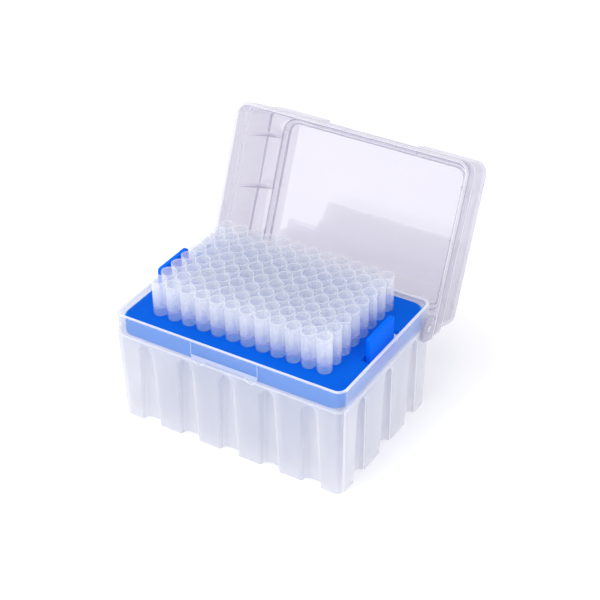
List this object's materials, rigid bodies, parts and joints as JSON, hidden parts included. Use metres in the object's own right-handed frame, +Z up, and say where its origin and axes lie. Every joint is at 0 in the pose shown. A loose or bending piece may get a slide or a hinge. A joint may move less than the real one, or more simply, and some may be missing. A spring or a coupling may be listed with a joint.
{
  "type": "pipette tip rack box",
  "caption": "Clear plastic tip box with a hinged lid, ribbed tub and a blue lift-out rack that carries rows of pipette tips.",
  "frame": {"origin": "middle of the open box's footprint rectangle, on the surface it stands on", "axes": "+X to the right along the front, +Y to the back, where the lid leans, +Z up"},
  "size_m": [0.1426, 0.1604, 0.133],
  "materials": {
    "tub_plastic": "frosted natural polypropylene",
    "lid_plastic": "clear moulded polypropylene, glossy inside panel",
    "rack_plastic": "satin moulded blue polypropylene",
    "tip_plastic": "thin natural polypropylene"
  },
  "bodies": {
    "tub": {"base_tub": "tub_plastic"},
    "lid": {"lid": "lid_plastic"},
    "rack": {"tip_rack": "rack_plastic"},
    "tab_left": {"rack_tab_left": "rack_plastic"},
    "tab_right": {"rack_tab_right": "rack_plastic"},
    "front_tip_01": {"front_tip_01": "tip_plastic"},
    "front_tip_02": {"front_tip_02": "tip_plastic"},
    "front_tip_03": {"front_tip_03": "tip_plastic"},
    "front_tip_04": {"front_tip_04": "tip_plastic"},
    "front_tip_05": {"front_tip_05": "tip_plastic"},
    "front_tip_06": {"front_tip_06": "tip_plastic"},
    "front_tip_07": {"front_tip_07": "tip_plastic"},
    "front_tip_08": {"front_tip_08": "tip_plastic"},
    "front_tip_09": {"front_tip_09": "tip_plastic"},
    "front_tip_10": {"front_tip_10": "tip_plastic"},
    "front_tip_11": {"front_tip_11": "tip_plastic"},
    "front_tip_12": {"front_tip_12": "tip_plastic"},
    "tip_row_2": {"tip_row_2": "tip_plastic"},
    "tip_row_3": {"tip_row_3": "tip_plastic"},
    "tip_row_4": {"tip_row_4": "tip_plastic"},
    "tip_row_5": {"tip_row_5": "tip_plastic"},
    "tip_row_6": {"tip_row_6": "tip_plastic"},
    "tip_row_7": {"tip_row_7": "tip_plastic"},
    "tip_row_8": {"tip_row_8": "tip_plastic"}
  },
  "joints": [
    {"name": "lid_hinge", "type": "hinge", "parent": "tub", "child": "lid", "pos_m": [0, 0.00747, 0.0524], "axis": [1, 0, 0], "range_deg": [0, 112]},
    {"name": "rack_lift", "type": "slide", "parent": "tub", "child": "rack", "axis": [0, 0, 1], "range_m": [0, 0.075]},
    {"name": "tab_left_flex", "type": "hinge", "parent": "rack", "child": "tab_left", "pos_m": [-0.06335, -0.03263, 0.05685], "axis": [0, 1, 0], "range_deg": [0, 5], "stiffness_Nm_per_rad": 0.05},
    {"name": "tab_right_flex", "type": "hinge", "parent": "rack", "child": "tab_right", "pos_m": [0.06335, -0.03263, 0.05685], "axis": [0, -1, 0], "range_deg": [0, 5], "stiffness_Nm_per_rad": 0.05},
    {"name": "front_tip_01_lift", "type": "slide", "parent": "rack", "child": "front_tip_01", "axis": [0, 0, 1], "range_m": [0, 0.055]},
    {"name": "front_tip_02_lift", "type": "slide", "parent": "rack", "child": "front_tip_02", "axis": [0, 0, 1], "range_m": [0, 0.055]},
    {"name": "front_tip_03_lift", "type": "slide", "parent": "rack", "child": "front_tip_03", "axis": [0, 0, 1], "range_m": [0, 0.055]},
    {"name": "front_tip_04_lift", "type": "slide", "parent": "rack", "child": "front_tip_04", "axis": [0, 0, 1], "range_m": [0, 0.055]},
    {"name": "front_tip_05_lift", "type": "slide", "parent": "rack", "child": "front_tip_05", "axis": [0, 0, 1], "range_m": [0, 0.055]},
    {"name": "front_tip_06_lift", "type": "slide", "parent": "rack", "child": "front_tip_06", "axis": [0, 0, 1], "range_m": [0, 0.055]},
    {"name": "front_tip_07_lift", "type": "slide", "parent": "rack", "child": "front_tip_07", "axis": [0, 0, 1], "range_m": [0, 0.055]},
    {"name": "front_tip_08_lift", "type": "slide", "parent": "rack", "child": "front_tip_08", "axis": [0, 0, 1], "range_m": [0, 0.055]},
    {"name": "front_tip_09_lift", "type": "slide", "parent": "rack", "child": "front_tip_09", "axis": [0, 0, 1], "range_m": [0, 0.055]},
    {"name": "front_tip_10_lift", "type": "slide", "parent": "rack", "child": "front_tip_10", "axis": [0, 0, 1], "range_m": [0, 0.055]},
    {"name": "front_tip_11_lift", "type": "slide", "parent": "rack", "child": "front_tip_11", "axis": [0, 0, 1], "range_m": [0, 0.055]},
    {"name": "front_tip_12_lift", "type": "slide", "parent": "rack", "child": "front_tip_12", "axis": [0, 0, 1], "range_m": [0, 0.055]},
    {"name": "tip_row_2_lift", "type": "slide", "parent": "rack", "child": "tip_row_2", "axis": [0, 0, 1], "range_m": [0, 0.055]},
    {"name": "tip_row_3_lift", "type": "slide", "parent": "rack", "child": "tip_row_3", "axis": [0, 0, 1], "range_m": [0, 0.055]},
    {"name": "tip_row_4_lift", "type": "slide", "parent": "rack", "child": "tip_row_4", "axis": [0, 0, 1], "range_m": [0, 0.055]},
    {"name": "tip_row_5_lift", "type": "slide", "parent": "rack", "child": "tip_row_5", "axis": [0, 0, 1], "range_m": [0, 0.055]},
    {"name": "tip_row_6_lift", "type": "slide", "parent": "rack", "child": "tip_row_6", "axis": [0, 0, 1], "range_m": [0, 0.055]},
    {"name": "tip_row_7_lift", "type": "slide", "parent": "rack", "child": "tip_row_7", "axis": [0, 0, 1], "range_m": [0, 0.055]},
    {"name": "tip_row_8_lift", "type": "slide", "parent": "rack", "child": "tip_row_8", "axis": [0, 0, 1], "range_m": [0, 0.055]}
  ]
}
